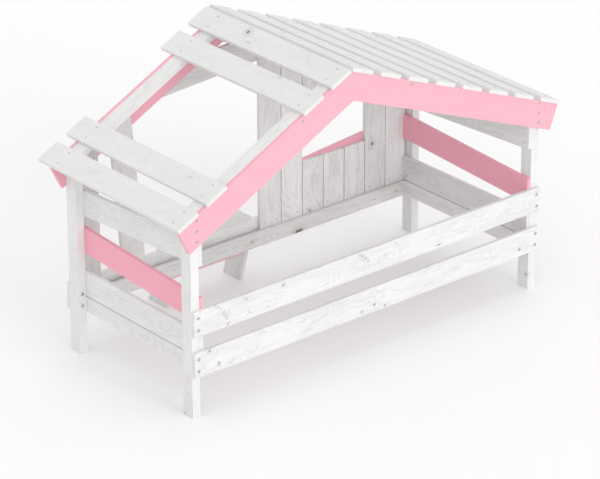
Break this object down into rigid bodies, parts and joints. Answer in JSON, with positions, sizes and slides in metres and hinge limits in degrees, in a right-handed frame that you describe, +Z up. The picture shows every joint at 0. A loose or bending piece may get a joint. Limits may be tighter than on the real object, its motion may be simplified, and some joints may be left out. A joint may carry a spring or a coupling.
{
  "type": "house frame bed",
  "caption": "Child's single bed framed like a small house, with an open board wall, doorway step, window opening and an uneven slatted gable roof.",
  "frame": {"origin": "on the floor, at the centre of the front left post's foot", "axes": "+X along the bed's length from the left posts to the right posts, +Y from the open front to the board wall with the doorway, +Z up"},
  "size_m": [2.3255, 1.1419, 1.4816],
  "materials": {
    "white_wood": "thin matt white glaze over knotty pine",
    "pink_wood": "matt pale pink paint over pine",
    "zinc_bolts": "yellow zinc plating"
  },
  "bodies": {
    "root": {"back_ledger": "white_wood", "back_ledger_bolts": "zinc_bolts", "back_outer_rail": "white_wood", "corner_wall_board": "white_wood", "door_header": "white_wood", "door_jamb": "white_wood", "frame_bolts": "zinc_bolts", "front_bed_rail": "white_wood", "front_guard_rail": "white_wood", "front_ledger": "white_wood", "front_ledger_bolts": "zinc_bolts", "gable_board_back_left": "pink_wood", "gable_board_back_right": "pink_wood", "gable_board_front_left": "pink_wood", "gable_board_front_right": "pink_wood", "left_end_ledger": "white_wood", "left_end_lower_board": "white_wood", "left_end_middle_board": "pink_wood", "left_end_top_board": "white_wood", "outer_rail_bolts": "zinc_bolts", "post_back_left": "white_wood", "post_back_right": "white_wood", "post_front_left": "white_wood", "post_front_right": "white_wood", "rafter_back_left": "white_wood", "rafter_back_right": "white_wood", "rafter_front_left": "white_wood", "rafter_front_right": "white_wood", "right_end_ledger": "white_wood", "right_end_lower_board": "white_wood", "right_end_middle_board": "pink_wood", "right_end_top_board": "white_wood", "roof_slat_left_1": "white_wood", "roof_slat_left_2": "white_wood", "roof_slat_left_3": "white_wood", "roof_slat_left_4": "white_wood", "roof_slat_right_1": "white_wood", "roof_slat_right_2": "white_wood", "roof_slat_right_3": "white_wood", "roof_slat_right_4": "white_wood", "roof_slat_right_5": "white_wood", "roof_slat_right_6": "white_wood", "roof_slat_right_7": "white_wood", "roof_slat_right_8": "white_wood", "step_leg_left": "white_wood", "step_leg_right": "white_wood", "step_riser": "pink_wood", "step_tread": "white_wood", "wall_board_1": "white_wood", "wall_board_2": "white_wood", "wall_board_3_above_window": "white_wood", "wall_board_3_below_window": "white_wood", "wall_board_4_above_window": "white_wood", "wall_board_4_below_window": "white_wood", "wall_board_5_above_window": "white_wood", "wall_board_5_below_window": "white_wood", "wall_board_6": "white_wood", "wall_board_7": "white_wood", "window_sill_board": "pink_wood"}
  },
  "joints": []
}
